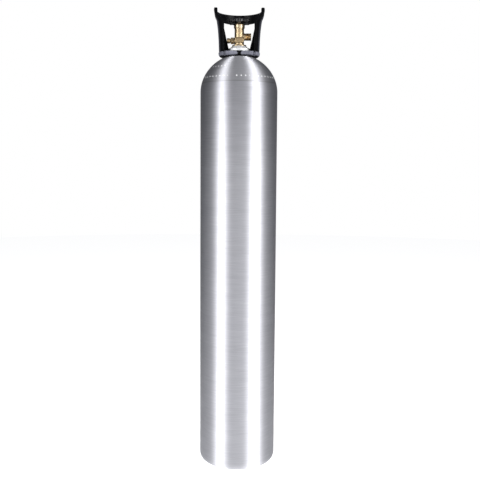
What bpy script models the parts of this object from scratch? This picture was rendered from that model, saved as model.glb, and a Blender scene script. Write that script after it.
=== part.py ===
"""High-pressure aluminium gas cylinder with a brass handwheel valve and a clamped carry handle.

Frame: origin on the floor at the centre of the cylinder's foot, +Z up along the cylinder's axis,
+X towards the valve's threaded outlet, -Y towards the open side of the carry handle.
Profiles are drawn in millimetres of the 8.00 inch cylinder of this family, and SCALE enlarges
them to the 8.60 inch cylinder; MM turns a drawn millimetre into metres at the real size.
Standard threads keep their own real size, so they are divided by SCALE where they are drawn.
"""

import math

import bmesh
import bpy
from mathutils import Matrix, Vector

for old in list(bpy.data.objects):
    bpy.data.objects.remove(old, do_unlink=True)

SCALE = 8.60 / 8.00
MM = 0.001 * SCALE
GAP = 0.3  # mm between pieces that touch

# ---- cylinder (mm) ----------------------------------------------------------------------------
CYL_R = 101.6  # 8.60 inch outside diameter at the real size
CYL_WALL = 10.5
CYL_BASE_T = 17.0
CYL_FOOT_CORNER = 23.6
CYL_STRAIGHT_TOP = 1000.0
DOME_H = 98.2
DOME_POWER = 2.0 / 1.924
INNER_DOME_H = 82.0
NECK_R = 28.9
NECK_TOP = 1119.0
NECK_BORE_R = 14.3 / SCALE  # 1-1/8 inch parallel neck thread
O_RING_SEAT_R = 17.7
O_RING_SEAT_Z = 1115.8

# ---- valve (mm) -------------------------------------------------------------------------------
SHANK_R = 14.0 / SCALE
SHANK_BOTTOM = 1091.0
FLANGE_R = 18.5
FLANGE_Z = (1119.3, 1122.0)
LOWER_RING_R = 12.75
BLOCK_W = 24.7
BLOCK_Z = (1127.0, 1142.4)
UPPER_R = 12.35
SHOULDER_Z = 1163.1
SPIGOT_R = 10.9
SPIGOT_TOP = 1171.8
CHAMBER_R = 6.95
SEAT_Z = 1138.4
OUTLET_Z = 1143.5
OUTLET_R = 10.48 / SCALE  # 0.825 inch outlet thread, across the crests
OUTLET_END = 31.0
OUTLET_BORE_R = 4.3
SAFETY_Z = 1133.6
SAFETY_END = 32.3
BONNET_R = 14.2
BONNET_TOP = 1177.9
STEM_R = 4.1
STEM_TOP = 1193.2
WHEEL_Z = (1178.2, 1188.6)
WHEEL_R = 30.2
WHEEL_LOBES = 6
WHEEL_SPOKES = 6
PLUG_PITCH = 1.5875 / SCALE  # 16 threads per inch
PLUG_TURNS = 1.5

# ---- carry handle (mm) ------------------------------------------------------------------------
COLLAR_BORE_R = NECK_R + 0.4
COLLAR_R = 54.4
COLLAR_TOP = 1102.6
COLLAR_FRONT = -43.0
COLLAR_BOTTOM = 1090.2
HANDLE_TOP = 1211.0
SPLIT_W = 9.0
CLAMP_Y = -35.5
CLAMP_Z = 1097.6


# ---- helpers ----------------------------------------------------------------------------------
def new_collection(name):
    col = bpy.data.collections.new(name)
    bpy.context.scene.collection.children.link(col)
    return col


PARTS = new_collection("gas_cylinder")
CUTTERS = new_collection("cutters")


def material(name, rgb, roughness, metallic):
    mat = bpy.data.materials.new(name)
    mat.use_nodes = True
    bsdf = mat.node_tree.nodes["Principled BSDF"]
    bsdf.inputs["Base Color"].default_value = (*rgb, 1.0)
    bsdf.inputs["Roughness"].default_value = roughness
    bsdf.inputs["Metallic"].default_value = metallic
    mat.diffuse_color = (*rgb, 1.0)
    return mat


def place(ob, tool):
    """Puts an object in the parts' collection, or in the cutters' as a wire shape that is not rendered."""
    for col in list(ob.users_collection):
        col.objects.unlink(ob)
    (CUTTERS if tool else PARTS).objects.link(ob)
    if tool:
        ob.hide_render = True
        ob.display_type = "WIRE"
    return ob


AXES = {"Z": (0.0, 0.0, 0.0), "X": (0.0, math.pi / 2, 0.0), "-X": (0.0, -math.pi / 2, 0.0)}


def turned(name, profile, steps, loop=False, axis="Z", at=(0, 0, 0), tool=False):
    """A profile of (radius, height) in mm, running down its outer side, turned about an axis."""
    mesh = bpy.data.meshes.new(name)
    verts = [(r * MM, 0.0, z * MM) for r, z in profile]
    edges = [(i, i + 1) for i in range(len(verts) - 1)]
    if loop:
        edges.append((len(verts) - 1, 0))
    mesh.from_pydata(verts, edges, [])
    ob = bpy.data.objects.new(name, mesh)
    ob.rotation_euler = AXES[axis]
    ob.location = Vector(at) * MM
    place(ob, tool)
    screw = ob.modifiers.new("turn", "SCREW")
    screw.axis = "Z"
    screw.angle = math.tau
    screw.steps = steps
    screw.render_steps = steps
    screw.use_merge_vertices = True
    screw.merge_threshold = 1e-5
    screw.use_smooth_shade = True
    return ob


def block(name, low, high, bevel=0.0, tool=False):
    """A box between two corners in mm."""
    bpy.ops.mesh.primitive_cube_add(size=1.0)
    ob = bpy.context.object
    ob.name = name
    size = [(h - l) * MM for l, h in zip(low, high)]
    ob.data.transform(Matrix.Diagonal((*size, 1.0)))
    ob.location = [(h + l) * 0.5 * MM for l, h in zip(low, high)]
    if bevel:
        b = ob.modifiers.new("edges", "BEVEL")
        b.width = bevel * MM
        b.segments = 2
    return place(ob, tool)


def hexagon(name, across_corners, length, at, axis="Z", turn=0.0, tool=False):
    """A hexagonal bar centred at a point in mm."""
    bpy.ops.mesh.primitive_cylinder_add(vertices=6, radius=across_corners * 0.5 * MM, depth=length * MM)
    ob = bpy.context.object
    ob.name = name
    ob.data.transform(Matrix.Rotation(turn, 4, "Z"))
    ob.rotation_euler = AXES[axis]
    ob.location = Vector(at) * MM
    return place(ob, tool)


def outline(name, points, low, high, plane="XY", tool=False):
    """A flat outline in mm, filled and extruded between two levels of the third axis, made into a mesh."""
    curve = bpy.data.curves.new(name, "CURVE")
    curve.dimensions = "2D"
    curve.fill_mode = "BOTH"
    curve.extrude = (high - low) * 0.5 * MM
    spline = curve.splines.new("POLY")
    spline.points.add(len(points) - 1)
    for p, (a, b) in zip(spline.points, points):
        p.co = (a * MM, b * MM, 0.0, 1.0)
    spline.use_cyclic_u = True
    guide = bpy.data.objects.new(name + "_outline", curve)
    CUTTERS.objects.link(guide)
    mid = (high + low) * 0.5 * MM
    if plane == "XY":
        guide.location = (0.0, 0.0, mid)
    else:  # outline in X and Z, extruded along Y
        guide.rotation_euler = (math.pi / 2, 0.0, 0.0)
        guide.location = (0.0, mid, 0.0)
    bpy.context.view_layer.update()
    mesh = bpy.data.meshes.new_from_object(guide.evaluated_get(bpy.context.evaluated_depsgraph_get()))
    work = bmesh.new()
    work.from_mesh(mesh)
    bmesh.ops.remove_doubles(work, verts=work.verts, dist=1e-6)
    bmesh.ops.recalc_face_normals(work, faces=work.faces)
    work.to_mesh(mesh)
    work.free()
    ob = bpy.data.objects.new(name, mesh)
    ob.matrix_world = guide.matrix_world.copy()
    bpy.data.objects.remove(guide, do_unlink=True)
    return place(ob, tool)


def boolean(ob, other, operation):
    mod = ob.modifiers.new(operation.lower() + "_" + other.name, "BOOLEAN")
    mod.operation = operation
    mod.solver = "EXACT"
    mod.object = other


def cut(ob, *others):
    for other in others:
        boolean(ob, other, "DIFFERENCE")


def join(ob, *others):
    for other in others:
        boolean(ob, other, "UNION")


def ring(centre_r, centre_z, section_r, sides=8):
    """The round section of an O-ring as a closed profile."""
    return [
        (centre_r + section_r * math.cos(a), centre_z + section_r * math.sin(a))
        for a in [-math.tau * i / sides for i in range(sides)]
    ]


def annulus(r_in, r_out, z_low, z_high):
    return [(r_out, z_high), (r_out, z_low), (r_in, z_low), (r_in, z_high)]


def arc(cx, cz, radius, start, end, count):
    """Points on an arc of a profile, angles in degrees from +radius towards +height."""
    return [
        (cx + radius * math.cos(math.radians(a)), cz + radius * math.sin(math.radians(a)))
        for a in [start + (end - start) * i / count for i in range(count + 1)]
    ]


def dome(radius, height, r_top, count):
    """Superellipse shoulder from the radius r_top down to the straight wall."""
    t_top = math.acos((r_top / radius) ** (1.0 / DOME_POWER))
    pts = []
    for i in range(count + 1):
        t = t_top * (1.0 - i / count)
        pts.append(
            (radius * math.cos(t) ** DOME_POWER, CYL_STRAIGHT_TOP + height * math.sin(t) ** DOME_POWER)
        )
    return pts


def finish(ob, mat, smooth=None):
    ob.data.materials.clear()
    ob.data.materials.append(mat)
    if smooth:
        ob.data.shade_smooth()
        ob.data.set_sharp_from_angle(angle=math.radians(smooth))
    return ob


# ---- aluminium cylinder -----------------------------------------------------------------------
inner_r = CYL_R - CYL_WALL
shell_profile = [(0.0, CYL_BASE_T)]
shell_profile += arc(inner_r - 22.0, CYL_BASE_T + 22.0, 22.0, -90, 0, 3)
shell_profile += list(reversed(dome(inner_r, INNER_DOME_H, NECK_BORE_R + 3.0, 5)))
shell_profile += [
    (NECK_BORE_R, CYL_STRAIGHT_TOP + INNER_DOME_H + 1.0),
    (NECK_BORE_R, O_RING_SEAT_Z),
    (O_RING_SEAT_R, O_RING_SEAT_Z),
    (O_RING_SEAT_R, NECK_TOP),
    (18.7, NECK_TOP),
    (20.2, 1117.9),
    (22.2, 1115.6),
    (24.2, 1113.9),
    (27.0, 1113.3),
    (28.5, 1112.4),
    (NECK_R, 1111.0),
    (NECK_R, 1094.4),
]
shell_profile += dome(CYL_R, DOME_H, 30.3, 9)
shell_profile += arc(CYL_R - CYL_FOOT_CORNER, CYL_FOOT_CORNER, CYL_FOOT_CORNER, 0, -90, 4)
shell_profile += [(0.0, 0.0)]
shell = turned("cylinder_shell", shell_profile, 48)
finish(shell, material("brushed_aluminium", (0.70, 0.70, 0.71), 0.34, 1.0))

neck_ring = turned("neck_o_ring", ring(15.4, 1117.55, 1.4, 6), 24, loop=True)
finish(neck_ring, material("neck_o_ring_rubber", (0.02, 0.02, 0.02), 0.6, 0.0))

# ---- carry handle: collar, two curved posts and a flared grip band in one moulding --------------
def table(pairs, x):
    """Piecewise linear value of a table of (x, value)."""
    for (x0, v0), (x1, v1) in zip(pairs, pairs[1:]):
        if x <= x1:
            return v0 + (v1 - v0) * (x - x0) / (x1 - x0)
    return pairs[-1][1]


def straighten(z):
    """0 where the wall is a round arc, 1 where the grip band's arms run straight towards the front."""
    t = min(1.0, max(0.0, (z - 1176.0) / 21.0))
    return t * t * (3.0 - 2.0 * t)


def plan_curve(half_width, z):
    """The wall's course at one height, from the front end on the left round the back to the right."""
    w = straighten(z)
    depth = half_width + GRIP_BACK * (z - HANDLE_FOOT) / (HANDLE_TOP - HANDLE_FOOT)
    outer = table(HANDLE_OUTER, z)
    front = (1.0 - w) * math.sqrt(outer * outer - POST_FRONT_X**2) + w * GRIP_FRONT
    side = []
    for i in range(ARM_STEPS, 0, -1):
        y = front * i / ARM_STEPS
        round_x = math.sqrt(max(0.0, half_width * half_width - y * y))
        straight_x = half_width * (1.0 - 0.018 * (y / GRIP_FRONT) ** 2)
        side.append(((1.0 - w) * round_x + w * straight_x, -y))
    for i in range(BACK_STEPS):
        angle = 0.5 * math.pi * i / BACK_STEPS
        side.append((half_width * math.cos(angle), depth * math.sin(angle)))
    return [(-x, y) for x, y in side] + [(0.0, depth)] + list(reversed(side))


HANDLE_FOOT = COLLAR_TOP - 1.2
GRIP_BACK = 8.8
GRIP_FRONT = 44.0
POST_FRONT_X = 44.5
ARM_STEPS = 4
BACK_STEPS = 10
HANDLE_OUTER = [(HANDLE_FOOT, 53.1), (1133.0, 54.2), (1151.0, 55.3), (1164.0, 56.5), (1174.0, 57.9), (1181.0, 58.9),
                (1186.0, 60.0), (1190.0, 61.9), (1194.0, 63.6), (1199.0, 64.7), (1205.0, 65.5), (1208.4, 66.2)]
HANDLE_INNER = [(HANDLE_FOOT, 48.5), (1133.0, 49.6), (1164.0, 51.9), (1181.0, 54.3), (1187.0, 55.6), (1192.0, 56.3),
                (1200.0, 56.8), (1208.4, 57.0)]
levels = [HANDLE_FOOT, 1133.0, 1164.0, 1176.0, 1181.0, 1185.5, 1190.0, 1194.5, 1200.0, 1208.4]
section = [(z, table(HANDLE_OUTER, z)) for z in levels]
section += [(1210.3, 65.5), (HANDLE_TOP, 64.0), (HANDLE_TOP, 59.2), (1210.3, 57.6)]
section += [(z, table(HANDLE_INNER, z)) for z in reversed(levels)]
work = bmesh.new()
rows = []
for z, half_width in section:
    rows.append([work.verts.new((x * MM, y * MM, z * MM)) for x, y in plan_curve(half_width, z)])
n_rows = len(rows)
for i in range(n_rows):
    lower, upper = rows[i], rows[(i + 1) % n_rows]
    for j in range(len(lower) - 1):
        work.faces.new((lower[j], lower[j + 1], upper[j + 1], upper[j]))
for end in (0, -1):
    for i in range(len(levels) - 1):
        work.faces.new((rows[i][end], rows[i + 1][end], rows[n_rows - 2 - i][end], rows[n_rows - 1 - i][end]))
    work.faces.new([rows[i][end] for i in range(len(levels) - 1, len(levels) + 5)])
bmesh.ops.recalc_face_normals(work, faces=work.faces)
wall_mesh = bpy.data.meshes.new("handle_wall")
work.to_mesh(wall_mesh)
work.free()
wall = place(bpy.data.objects.new("handle_wall", wall_mesh), True)

collar_profile = [(COLLAR_R - 0.8, COLLAR_TOP), (COLLAR_R, COLLAR_TOP - 0.8)]
collar_profile += arc(COLLAR_R - 9.0, 1099.2, 9.0, 0, -90, 4)
collar_profile += [
    (38.5, 1091.6),
    (31.4, 1095.0),
    (COLLAR_BORE_R, 1096.8),
    (COLLAR_BORE_R, COLLAR_TOP - 0.8),
    (COLLAR_BORE_R + 0.8, COLLAR_TOP),
]
handle = turned("carry_handle", collar_profile, 56, loop=True)
half_rear = [(23.4, 1106.0), (25.9, 1108.5), (28.9, 1122.0), (34.0, 1142.5), (37.9, 1160.6), (41.4, 1176.2), (42.7, 1182.6),
             (42.2, 1185.0), (40.2, 1186.6), (33.0, 1185.9), (16.0, 1184.6), (5.0, 1184.2)]
rear_window = outline(
    "rear_window", half_rear + [(-x, z) for x, z in reversed(half_rear)], 8.0, 95.0, "XZ", tool=True
)
split = block("collar_split", (-SPLIT_W / 2, -62, 1086), (SPLIT_W / 2, -20, 1112), tool=True)
split_top = block("collar_split_top", (-6.6, -60, COLLAR_TOP - 2.45), (6.6, -39.0, 1111), tool=True)
split_foot = block("collar_split_foot", (-6.7, -61, 1085), (6.7, -37.6, COLLAR_BOTTOM + 2.7), tool=True)
flat_front = block("collar_flat_front", (-70, -80, 1080), (70, COLLAR_FRONT, 1108), tool=True)
clamp_hole = turned("clamp_hole", [(0, 30), (2.8, 30), (2.8, -30), (0, -30)], 16, axis="X",
                    at=(0, CLAMP_Y, CLAMP_Z), tool=True)
head_pocket = turned("clamp_head_pocket", [(0, -15), (4.9, -15), (4.9, -62), (0, -62)], 20, axis="X",
                     at=(0, CLAMP_Y, CLAMP_Z), tool=True)
nut_pocket = hexagon("clamp_nut_pocket", 10.0, 47.0, (15 + 23.5, CLAMP_Y, CLAMP_Z), axis="X", tool=True)
cut(handle, flat_front, split, split_top, split_foot, clamp_hole, head_pocket, nut_pocket)
join(handle, wall)
cut(handle, rear_window)
finish(handle, material("handle_plastic", (0.012, 0.012, 0.014), 0.42, 0.0))

clamp_screw = turned(
    "handle_clamp_screw",
    [(0, 21.6), (2.1, 21.6), (2.5, 21.1), (2.5, -16.6), (4.2, -16.6), (4.2, -20.6), (3.7, -21.2), (0, -21.2)],
    20, axis="X", at=(0, CLAMP_Y, CLAMP_Z),
)
socket = hexagon("clamp_screw_socket", 4.6, 4.0, (-21.6, CLAMP_Y, CLAMP_Z), axis="X", tool=True)
cut(clamp_screw, socket)
finish(clamp_screw, material("clamp_screw_steel", (0.32, 0.32, 0.33), 0.35, 1.0))
clamp_washer = turned("handle_clamp_washer", annulus(2.8, 4.6, -16.3, -15.3), 20, loop=True, axis="X",
                      at=(0, CLAMP_Y, CLAMP_Z))
finish(clamp_washer, material("clamp_washer_steel", (0.45, 0.45, 0.46), 0.35, 1.0))
clamp_nut = hexagon("handle_clamp_nut", 9.2, 4.0, (17.4, CLAMP_Y, CLAMP_Z), axis="X")
nut_hole = turned("clamp_nut_hole", [(0, 22), (2.8, 22), (2.8, 12), (0, 12)], 16, axis="X",
                  at=(0, CLAMP_Y, CLAMP_Z), tool=True)
cut(clamp_nut, nut_hole)
finish(clamp_nut, material("clamp_nut_steel", (0.45, 0.45, 0.46), 0.35, 1.0))

# ---- valve body -------------------------------------------------------------------------------
body = turned(
    "valve_body",
    [
        (0, SPIGOT_TOP), (10.2, SPIGOT_TOP), (SPIGOT_R, SPIGOT_TOP - 0.7), (SPIGOT_R, SHOULDER_Z),
        (UPPER_R - 0.5, SHOULDER_Z), (UPPER_R, SHOULDER_Z - 0.5), (UPPER_R, 1141.2), (11.0, 1140.6),
        (11.0, 1128.6), (12.1, 1127.6), (LOWER_RING_R, 1126.8), (LOWER_RING_R, 1123.5), (11.8, 1122.7),
        (11.8, FLANGE_Z[1]), (FLANGE_R - 0.6, FLANGE_Z[1]), (FLANGE_R, FLANGE_Z[1] - 0.6),
        (FLANGE_R, FLANGE_Z[0] + 0.4), (FLANGE_R - 0.4, FLANGE_Z[0]), (SHANK_R - 0.2, FLANGE_Z[0]), (SHANK_R - 0.2, 1116.4),
        (SHANK_R, 1115.8), (SHANK_R, SHANK_BOTTOM + 1.4), (SHANK_R - 1.4, SHANK_BOTTOM), (0, SHANK_BOTTOM),
    ],
    24,
)
forging = block(
    "valve_forging", (-BLOCK_W / 2, -BLOCK_W / 2, BLOCK_Z[0]), (BLOCK_W / 2, BLOCK_W / 2, BLOCK_Z[1]), 2.6, tool=True
)
outlet = turned(
    "outlet_spigot",
    [(0, OUTLET_END), (OUTLET_R - 1.0, OUTLET_END), (OUTLET_R, OUTLET_END - 1.0), (OUTLET_R, 16.2),
     (OUTLET_R - 1.0, 15.0), (OUTLET_R - 1.0, 3), (0, 3)],
    24, axis="X", at=(0, 0, OUTLET_Z), tool=True,
)
boss = turned("safety_boss", [(0, 13.8), (7.7, 13.8), (8.4, 13.1), (8.4, 3), (0, 3)], 24, axis="-X",
              at=(0, 0, SAFETY_Z), tool=True)
main_bore = turned(
    "valve_main_bore",
    [(0, 1176), (CHAMBER_R, 1176), (CHAMBER_R, SEAT_Z - 1.0), (4.9, SEAT_Z - 1.0), (4.5, SEAT_Z), (3.5, SEAT_Z),
     (3.2, SEAT_Z - 0.5), (3.2, 1086), (0, 1086)],
    28, tool=True,
)
outlet_bore = turned(
    "outlet_bore", [(0, 33), (5.3, 33), (5.3, 31.2), (OUTLET_BORE_R, 30.2), (OUTLET_BORE_R, 4), (0, 4)],
    20, axis="X", at=(0, 0, OUTLET_Z), tool=True,
)
safety_port = turned(
    "safety_port", [(0, 16), (5.2, 16), (5.2, 7.6), (1.6, 7.6), (1.6, 0.6), (0, 0.6)], 20, axis="-X",
    at=(0, 0, SAFETY_Z), tool=True,
)
join(body, forging, outlet, boss)
cut(body, main_bore, outlet_bore, safety_port)
finish(body, material("valve_brass", (0.64, 0.47, 0.26), 0.34, 1.0))

# ---- bonnet -----------------------------------------------------------------------------------
gasket = turned("bonnet_gasket", annulus(7.3, 10.6, SPIGOT_TOP + 0.3, SPIGOT_TOP + 1.1), 24, loop=True)
finish(gasket, material("bonnet_gasket_fibre", (0.35, 0.05, 0.03), 0.7, 0.0))
bonnet = turned(
    "bonnet_nut",
    [
        (8.6, BONNET_TOP), (11.8, 1177.4), (13.4, 1175.9), (BONNET_R, 1173.6), (BONNET_R, 1165.7), (13.5, 1165.1),
        (13.5, SHOULDER_Z + GAP), (11.25, SHOULDER_Z + GAP), (11.25, SPIGOT_TOP + 1.4), (6.65, SPIGOT_TOP + 1.4),
        (6.65, 1165.4), (4.4, 1165.4), (4.4, BONNET_TOP),
    ],
    24, loop=True,
)
finish(bonnet, material("bonnet_brass", (0.70, 0.54, 0.31), 0.24, 1.0))

# ---- stem and lower plug ----------------------------------------------------------------------
stem = turned(
    "valve_stem",
    [
        (0, STEM_TOP), (2.0, STEM_TOP), (2.5, STEM_TOP - 0.5), (2.5, 1184.6), (2.7, 1184.4), (2.7, 1178.3),
        (STEM_R, 1178.0), (STEM_R, 1170.7), (2.5, 1170.7), (2.5, 1168.3), (STEM_R, 1168.3), (STEM_R, 1163.9),
        (6.2, 1163.9), (6.5, 1163.6), (6.5, 1161.2), (6.2, 1160.9), (0, 1160.9),
    ],
    20,
)
square_top = block("stem_square", (-2.95, -2.95, 1178.0), (2.95, 2.95, 1185.2), tool=True)
square_drive = block("stem_drive", (-2.2, -2.2, 1147.2), (2.2, 2.2, 1161.8), tool=True)
join(stem, square_top, square_drive)
finish(stem, material("stem_brass", (0.66, 0.50, 0.28), 0.26, 1.0))
stem_ring = turned("stem_o_ring", ring(3.45, 1169.5, 0.78, 6), 16, loop=True)
finish(stem_ring, material("stem_o_ring_rubber", (0.02, 0.02, 0.02), 0.6, 0.0))
thrust = turned("stem_thrust_washer", annulus(4.4, 6.6, 1164.2, 1165.1), 20, loop=True)
finish(thrust, material("thrust_washer_nylon", (0.80, 0.80, 0.76), 0.5, 0.0))

plug = turned("valve_plug", [(0, 1154.5), (6.1, 1154.5), (6.65, 1153.9), (6.65, 1141.6), (6.1, 1141.0), (0, 1141.0)], 24)
plug_socket = block("plug_socket", (-2.5, -2.5, 1144.2), (2.5, 2.5, 1158.0), tool=True)
plug_recess = turned("plug_recess", [(0, 1142.7), (5.1, 1142.7), (5.1, 1138.0), (0, 1138.0)], 20, tool=True)
cut(plug, plug_socket, plug_recess)
finish(plug, material("plug_brass", (0.66, 0.50, 0.28), 0.3, 1.0))
disc = turned("seat_disc", [(0, 1142.4), (4.5, 1142.4), (4.8, 1142.1), (4.8, 1139.0), (4.5, 1138.7), (0, 1138.7)], 20)
finish(disc, material("seat_disc_nylon", (0.82, 0.81, 0.74), 0.5, 0.0))

# ---- handwheel --------------------------------------------------------------------------------
def rim_radius(a):
    """Six lobes, each with three finger ribs; one lobe points to the front."""
    lobe = a + math.pi / 2
    return WHEEL_R - 3.3 + 2.5 * math.cos(WHEEL_LOBES * lobe) + 0.8 * math.cos(3 * WHEEL_LOBES * lobe)


def sector(centre, half, inner, inset, steps):
    """Outline of a piece of the rim between two angles, from an inner radius to just inside the lobed edge."""
    angles = [centre - half + 2.0 * half * i / steps for i in range(steps + 1)]
    points = [(inner * math.cos(a), inner * math.sin(a)) for a in reversed(angles)]
    return points + [((rim_radius(a) - inset) * math.cos(a), (rim_radius(a) - inset) * math.sin(a)) for a in angles]


rim = [(rim_radius(math.tau * i / 108) * math.cos(math.tau * i / 108), rim_radius(math.tau * i / 108) * math.sin(math.tau * i / 108))
       for i in range(108)]
wheel = outline("handwheel", rim, WHEEL_Z[0], WHEEL_Z[1])
wheel_bore = turned("wheel_bore", [(0, 1190), (7.3, 1190), (7.3, 1174), (0, 1174)], 20, tool=True)
nut_recess = turned("wheel_recess", [(0, 1192), (11.6, 1192), (10.0, 1185.4), (0, 1185.4)], 24, tool=True)
cut(wheel, wheel_bore, nut_recess)
for k in range(WHEEL_LOBES):
    mid = math.tau * (k + 0.5) / WHEEL_LOBES
    join(wheel, outline("wheel_lobe_%d" % (k + 1), sector(mid, math.radians(13), 19.8, 0.5, 6), WHEEL_Z[0] - 2.0, WHEEL_Z[0] + 1.0, tool=True))
    valley = mid + math.pi / WHEEL_LOBES
    cut(wheel, outline("wheel_valley_%d" % (k + 1), sector(valley, math.radians(11), 19.8, -2.0, 4), WHEEL_Z[0] - 3.0, WHEEL_Z[0] + 2.0, tool=True))
    half_in = math.pi / WHEEL_SPOKES - 2.5 / 11.8
    half_out = math.pi / WHEEL_SPOKES - 2.5 / 19.2
    pocket = [(11.8 * math.cos(mid + s * half_in), 11.8 * math.sin(mid + s * half_in)) for s in (-1, -0.33, 0.33, 1)]
    pocket += [(19.2 * math.cos(mid + s * half_out), 19.2 * math.sin(mid + s * half_out))
               for s in (1, 0.6, 0.2, -0.2, -0.6, -1)]
    cut(wheel, outline("wheel_pocket_%d" % (k + 1), pocket, 1174.0, 1186.0, tool=True))
finish(wheel, material("handwheel_plastic", (0.010, 0.010, 0.011), 0.3, 0.0))

insert = turned("handwheel_insert", [(0, 1185.0), (6.6, 1185.0), (7.0, 1184.6), (7.0, 1178.9), (6.6, 1178.5), (0, 1178.5)], 20)
insert_hole = block("insert_square", (-3.25, -3.25, 1170), (3.25, 3.25, 1190), tool=True)
cut(insert, insert_hole)
finish(insert, material("insert_brass", (0.62, 0.46, 0.26), 0.35, 1.0))
washer = turned("handwheel_washer", annulus(2.8, 8.4, 1185.7, 1186.4), 20, loop=True)
finish(washer, material("wheel_washer_steel", (0.6, 0.6, 0.61), 0.3, 1.0))

coil = bpy.data.curves.new("handwheel_spring", "CURVE")
coil.dimensions = "3D"
coil.bevel_depth = 0.4 * MM
coil.bevel_resolution = 1
coil.use_fill_caps = True
SPRING_TURNS, SPRING_LOW, SPRING_HIGH, SPRING_R = 2.25, 1187.2, 1188.9, 4.3
path = coil.splines.new("POLY")
count = int(SPRING_TURNS * 14) + 1
path.points.add(count - 1)
for i, p in enumerate(path.points):
    a = math.tau * SPRING_TURNS * i / (count - 1)
    z = SPRING_LOW + (SPRING_HIGH - SPRING_LOW) * i / (count - 1)
    grow = SPRING_R + 1.1 * (1.0 - i / (count - 1))
    p.co = (grow * math.cos(a) * MM, grow * math.sin(a) * MM, z * MM, 1.0)
spring = bpy.data.objects.new("handwheel_spring", coil)
PARTS.objects.link(spring)
coil.materials.append(material("spring_steel", (0.5, 0.5, 0.52), 0.3, 1.0))

wheel_nut = hexagon("handwheel_nut", 9.2, 2.8, (0, 0, 1191.1))
wheel_nut_hole = turned("wheel_nut_hole", [(0, 1196), (2.8, 1196), (2.8, 1186), (0, 1186)], 16, tool=True)
cut(wheel_nut, wheel_nut_hole)
finish(wheel_nut, material("wheel_nut_steel", (0.62, 0.62, 0.63), 0.28, 1.0))

# ---- safety relief ----------------------------------------------------------------------------
safety = turned(
    "safety_plug",
    [
        (0, SAFETY_END), (6.2, SAFETY_END), (6.85, SAFETY_END - 0.7), (6.85, 25.6), (6.2, 25.0), (5.4, 24.8),
        (5.4, 23.4), (6.6, 22.8), (6.6, 14.6), (4.9, 14.3), (4.9, 9.7), (0, 9.7),
    ],
    24, axis="-X", at=(0, 0, SAFETY_Z),
)
safety_hex = hexagon("safety_hex", 19.2, 8.0, (-18.1, 0, SAFETY_Z), axis="-X", turn=math.radians(18), tool=True)
vent = turned("safety_vent", [(0, 29.6), (2.1, 29.6), (2.1, 8.0), (0, 8.0)], 16, axis="-X", at=(0, 0, SAFETY_Z), tool=True)
join(safety, safety_hex)
cut(safety, vent)
for k, angle in enumerate((0.0, math.pi / 2)):
    cross = turned("vent_cross_%d" % (k + 1), [(0, 9), (1.3, 9), (1.3, -9), (0, -9)], 12,
                   at=(-28.3, 0, SAFETY_Z), tool=True)
    cross.rotation_euler = (math.pi / 4 + angle, 0.0, 0.0)
    cut(safety, cross)
finish(safety, material("safety_brass", (0.60, 0.44, 0.24), 0.3, 1.0))
safety_gasket = turned("safety_gasket", annulus(2.5, 4.8, 8.6, 9.4), 20, loop=True, axis="-X", at=(0, 0, SAFETY_Z))
finish(safety_gasket, material("gasket_copper", (0.70, 0.33, 0.20), 0.35, 1.0))
burst = turned("burst_disc", [(0, 8.3), (4.8, 8.3), (4.8, 7.9), (0, 7.9)], 20, axis="-X", at=(0, 0, SAFETY_Z))
finish(burst, material("burst_disc_copper", (0.72, 0.36, 0.22), 0.3, 1.0))

# ---- joint axes: the handwheel and stem turn about +Z, the plug rises inside the body ------------
wheel_axis = bpy.data.objects.new("handwheel_axis", None)
wheel_axis.location = (0.0, 0.0, WHEEL_Z[0] * MM)
PARTS.objects.link(wheel_axis)
plug_axis = bpy.data.objects.new("plug_axis", None)
plug_axis.location = (0.0, 0.0, SEAT_Z * MM)
PARTS.objects.link(plug_axis)
for ob in (stem, stem_ring, thrust, wheel, insert, washer, spring, wheel_nut):
    ob.parent = wheel_axis
    ob.matrix_parent_inverse = Matrix.Translation(-wheel_axis.location)
for ob in (plug, disc):
    ob.parent = plug_axis
    ob.matrix_parent_inverse = Matrix.Translation(-plug_axis.location)
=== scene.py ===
"""Studio look for the aluminium gas cylinder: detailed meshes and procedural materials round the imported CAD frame."""

import math
import random

import bmesh
import bpy
from mathutils import Matrix, Vector


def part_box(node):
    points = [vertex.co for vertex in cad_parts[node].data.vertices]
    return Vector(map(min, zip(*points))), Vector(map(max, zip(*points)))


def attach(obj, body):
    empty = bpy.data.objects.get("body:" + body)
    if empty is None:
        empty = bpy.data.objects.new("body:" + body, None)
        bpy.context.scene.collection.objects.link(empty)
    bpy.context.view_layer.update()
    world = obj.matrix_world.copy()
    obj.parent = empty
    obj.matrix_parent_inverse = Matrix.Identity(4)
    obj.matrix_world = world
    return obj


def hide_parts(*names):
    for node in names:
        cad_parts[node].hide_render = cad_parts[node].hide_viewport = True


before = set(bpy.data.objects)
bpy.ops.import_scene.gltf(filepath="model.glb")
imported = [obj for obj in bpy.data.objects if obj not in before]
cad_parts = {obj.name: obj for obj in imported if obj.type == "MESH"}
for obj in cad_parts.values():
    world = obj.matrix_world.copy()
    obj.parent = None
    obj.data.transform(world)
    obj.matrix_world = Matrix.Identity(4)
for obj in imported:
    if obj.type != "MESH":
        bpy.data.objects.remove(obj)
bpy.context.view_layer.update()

# The profiles below are drawn in the part's own drawing units; U turns one into metres at the real size.
shell_low, shell_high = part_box("cylinder_shell")
U = float(shell_high[0] - shell_low[0]) / 203.2
TAU = math.tau


# ------------------------------------------------------------------------------------------------
# mesh helpers
# ------------------------------------------------------------------------------------------------
def new_object(name, mesh):
    ob = bpy.data.objects.new(name, mesh)
    bpy.context.scene.collection.objects.link(ob)
    return ob


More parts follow.
